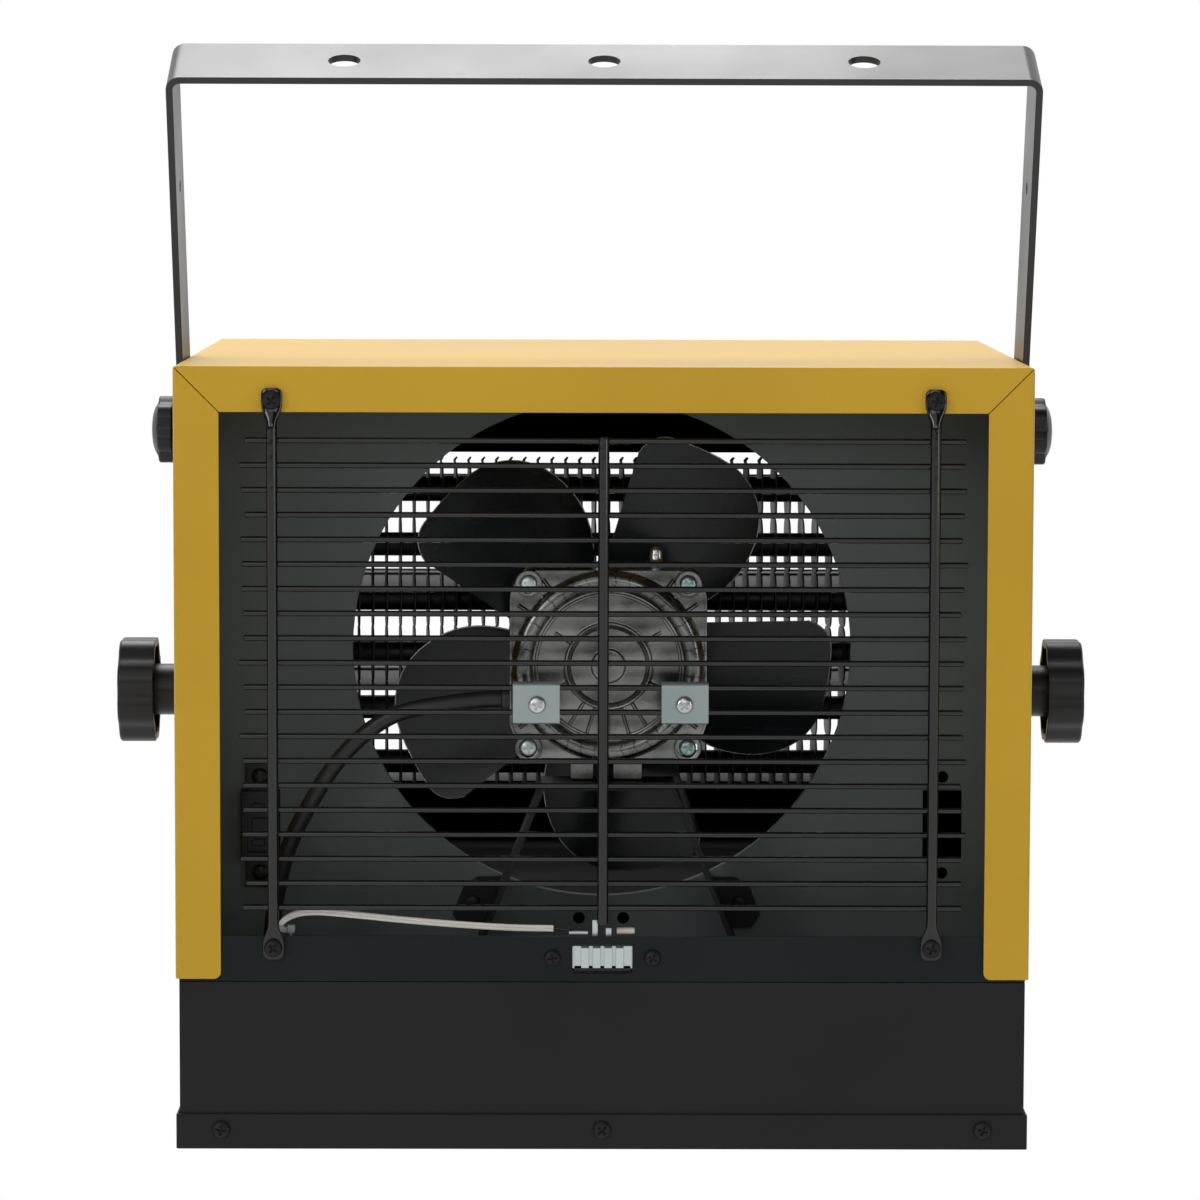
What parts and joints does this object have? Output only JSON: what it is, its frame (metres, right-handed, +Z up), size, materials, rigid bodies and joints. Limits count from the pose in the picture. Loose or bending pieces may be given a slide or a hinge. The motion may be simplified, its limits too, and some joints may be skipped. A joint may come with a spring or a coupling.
{
  "type": "ceiling mounted fan heater",
  "caption": "Box-shaped electric fan heater in a tilting U-shaped ceiling bracket, with a wire-guarded rear intake, a motor and fan, finned elements and outlet louvers.",
  "frame": {"origin": "middle of the top face of the ceiling bracket, over its middle hole", "axes": "+Z up with the casing upright, -Y towards the rear air intake, +Y towards the warm air outlet, +X to the right as seen from the intake side; the bracket leans back 22.3 degrees about the tilt axis"},
  "size_m": [0.4426, 0.3093, 0.4786],
  "materials": {
    "yellow_paint": "fine textured powder coat",
    "black_paint": "satin powder coat",
    "grey_paint": "satin dark grey coat",
    "black_wire": "glossy dip coat",
    "cast_alloy": "as die-cast",
    "zinc_plate": "bright zinc plate",
    "bare_steel": "bright",
    "core_steel": "stacked laminations",
    "blade_metal": "smooth dark sheet",
    "element_black": "heat-blackened",
    "black_plastic": "satin moulding",
    "ceramic": "unglazed ceramic",
    "white_sleeve": "soft sleeve",
    "black_rubber": "satin"
  },
  "bodies": {
    "ceiling_bracket": {"ceiling_bracket": "black_paint"},
    "heater": {"hood": "yellow_paint", "chassis_tray": "black_paint", "base_housing": "black_paint", "bottom_cover": "black_paint", "front_panel": "black_paint", "air_duct": "black_paint", "motor_bracket": "black_paint", "guard_screw_1": "black_paint", "guard_screw_2": "black_paint", "guard_screw_3": "black_paint", "guard_screw_4": "black_paint", "cover_screw_1": "black_paint", "cover_screw_2": "black_paint", "cover_screw_3": "black_paint", "fan_partition": "grey_paint", "rear_guard": "black_wire", "motor_rear_shield": "cast_alloy", "motor_front_shield": "cast_alloy", "shield_clip_left": "zinc_plate", "shield_clip_right": "zinc_plate", "thermal_cutout": "zinc_plate", "pivot_nut_left": "zinc_plate", "pivot_nut_right": "zinc_plate", "motor_screw_1": "bare_steel", "motor_screw_2": "bare_steel", "motor_screw_3": "bare_steel", "motor_screw_4": "bare_steel", "rear_bearing": "bare_steel", "front_bearing": "bare_steel", "motor_stator": "core_steel", "heating_element_upper": "element_black", "heating_element_middle": "element_black", "heating_element_lower": "element_black", "side_connector": "black_plastic", "selector_switch": "black_plastic", "terminal_block": "ceramic", "thermostat_body": "ceramic", "sensor_lead": "white_sleeve", "lead_tie": "white_sleeve", "motor_cable": "black_rubber", "cable_grommet": "black_rubber", "inlet_grommet": "black_rubber"},
    "fan_rotor": {"rotor_shaft": "bare_steel", "fan": "blade_metal", "fan_nut": "bare_steel"},
    "louver_1": {"louver_1": "black_paint"},
    "louver_2": {"louver_2": "black_paint"},
    "louver_3": {"louver_3": "black_paint"},
    "louver_4": {"louver_4": "black_paint"},
    "thermostat_knob": {"thermostat_knob": "black_plastic"},
    "selector_knob": {"selector_knob": "black_plastic"},
    "clamp_knob_left": {"clamp_knob_left": "black_plastic"},
    "clamp_knob_right": {"clamp_knob_right": "black_plastic"},
    "star_knob_left": {"star_knob_left": "black_plastic"},
    "star_knob_right": {"star_knob_right": "black_plastic"}
  },
  "joints": [
    {"name": "tilt", "type": "hinge", "parent": "ceiling_bracket", "child": "heater", "pos_m": [0, 0.11763, -0.28681], "axis": [1, 0, 0], "range_deg": [-22.7, 22.3]},
    {"name": "fan_spin", "type": "hinge", "parent": "heater", "child": "fan_rotor", "pos_m": [0.0024, 0.06063, -0.26232], "axis": [0, 1, 0], "continuous": true},
    {"name": "louver_1_set", "type": "hinge", "parent": "heater", "child": "louver_1", "pos_m": [0, 0.22963, -0.19961], "axis": [1, 0, 0], "range_deg": [-45, 45]},
    {"name": "louver_2_set", "type": "hinge", "parent": "heater", "child": "louver_2", "pos_m": [0, 0.22963, -0.24602], "axis": [1, 0, 0], "range_deg": [-45, 45]},
    {"name": "louver_3_set", "type": "hinge", "parent": "heater", "child": "louver_3", "pos_m": [0, 0.22963, -0.29241], "axis": [1, 0, 0], "range_deg": [-45, 45]},
    {"name": "louver_4_set", "type": "hinge", "parent": "heater", "child": "louver_4", "pos_m": [0, 0.22963, -0.33881], "axis": [1, 0, 0], "range_deg": [-45, 45]},
    {"name": "thermostat_turn", "type": "hinge", "parent": "heater", "child": "thermostat_knob", "pos_m": [0.08, 0.25763, -0.43332], "axis": [0, -1, 0], "range_deg": [0, 270]},
    {"name": "selector_turn", "type": "hinge", "parent": "heater", "child": "selector_knob", "pos_m": [-0.08, 0.25763, -0.43332], "axis": [0, -1, 0], "range_deg": [0, 180]},
    {"name": "clamp_left_turn", "type": "hinge", "parent": "heater", "child": "clamp_knob_left", "pos_m": [-0.2, 0.11763, -0.28681], "axis": [-1, 0, 0], "range_deg": [0, 360]},
    {"name": "clamp_right_turn", "type": "hinge", "parent": "heater", "child": "clamp_knob_right", "pos_m": [0.2, 0.11763, -0.28681], "axis": [1, 0, 0], "range_deg": [0, 360]},
    {"name": "star_left_turn", "type": "hinge", "parent": "ceiling_bracket", "child": "star_knob_left", "pos_m": [-0.195, 0.06716, -0.16376], "axis": [-1, 0, 0], "range_deg": [0, 360]},
    {"name": "star_right_turn", "type": "hinge", "parent": "ceiling_bracket", "child": "star_knob_right", "pos_m": [0.195, 0.06716, -0.16376], "axis": [1, 0, 0], "range_deg": [0, 360]}
  ]
}
